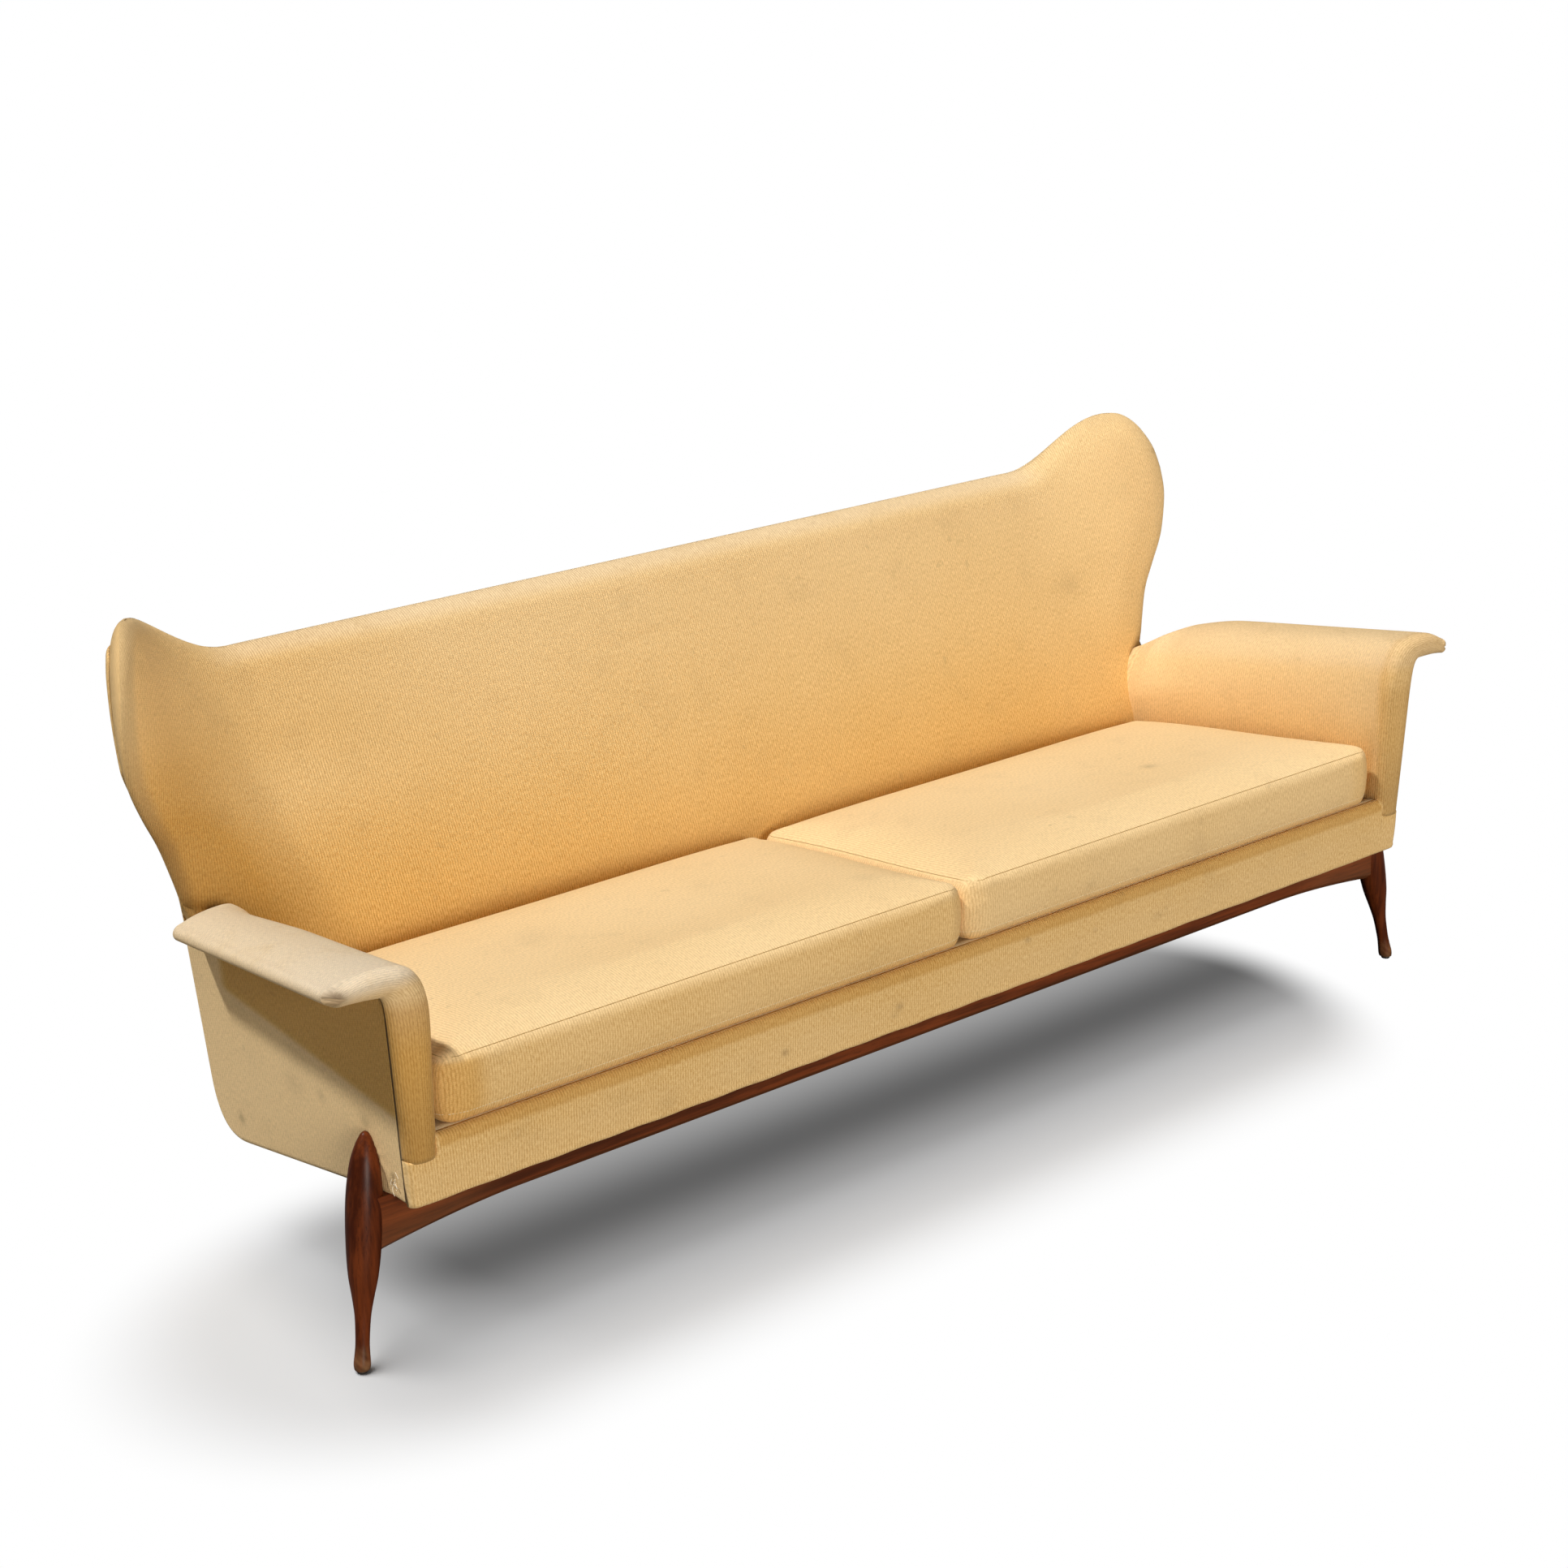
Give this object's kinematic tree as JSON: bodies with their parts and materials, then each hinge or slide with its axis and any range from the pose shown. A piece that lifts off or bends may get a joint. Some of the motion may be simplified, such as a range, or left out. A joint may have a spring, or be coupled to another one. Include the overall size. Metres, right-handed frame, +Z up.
{
  "type": "wingback sofa",
  "caption": "Long low sofa with a winged back, outward-flared arms, loose boxed seat cushions and splayed turned wooden legs.",
  "frame": {"origin": "on the floor under the centre of the sofa's bounding box", "axes": "+X along the sofa to the sitter's left (right in a front view), +Y to the rear, +Z up"},
  "size_m": [2.2976, 0.811, 0.9077],
  "materials": {
    "wool_cover": "yellow-gold ribbed wool weave",
    "deck_cloth": "plain cotton deck cloth",
    "dust_cloth": "thin black dust cloth",
    "walnut": "dark reddish-brown satin",
    "beech": "raw hardwood",
    "plywood": "raw plywood",
    "steel": "zinc plated",
    "strap": "woven rubber strap",
    "glide": "dark moulded glide"
  },
  "bodies": {
    "frame": {"back_pad": "wool_cover", "back_top_rail": "beech", "back_bottom_rail": "beech", "back_post_left": "beech", "back_post_middle": "beech", "back_post_right": "beech", "wing_board_right": "plywood", "wing_board_left": "plywood", "back_rear_panel": "wool_cover", "arm_pad_right": "wool_cover", "arm_pad_left": "wool_cover", "arm_flare_plank_right": "beech", "arm_flare_plank_left": "beech", "arm_board_right": "plywood", "arm_board_left": "plywood", "side_cover_right": "wool_cover", "side_cover_left": "wool_cover", "seat_rail_front": "beech", "seat_rail_rear": "beech", "seat_rail_right": "beech", "seat_rail_left": "beech", "seat_brace": "beech", "corner_block_front_left": "beech", "corner_block_front_right": "beech", "corner_block_rear_left": "beech", "corner_block_rear_right": "beech", "seat_strap_1": "strap", "seat_strap_2": "strap", "seat_strap_3": "strap", "seat_strap_4": "strap", "seat_strap_5": "strap", "seat_strap_6": "strap", "seat_strap_7": "strap", "seat_strap_8": "strap", "seat_deck": "deck_cloth", "dust_sheet": "dust_cloth", "front_apron": "wool_cover", "front_rail": "walnut", "front_leg_left": "walnut", "front_leg_bolt_left": "steel", "front_glide_left": "glide", "front_leg_right": "walnut", "front_leg_bolt_right": "steel", "front_glide_right": "glide", "leg_plate_left": "steel", "rear_leg_left": "walnut", "rear_glide_left": "glide", "leg_plate_right": "steel", "rear_leg_right": "walnut", "rear_glide_right": "glide"},
    "cushion_left": {"seat_cushion_left": "wool_cover"},
    "cushion_right": {"seat_cushion_right": "wool_cover"}
  },
  "joints": [
    {"name": "cushion_left_lift", "type": "slide", "parent": "frame", "child": "cushion_left", "axis": [0, 0, 1], "range_m": [0, 0.35]},
    {"name": "cushion_right_lift", "type": "slide", "parent": "frame", "child": "cushion_right", "axis": [0, 0, 1], "range_m": [0, 0.35]}
  ]
}
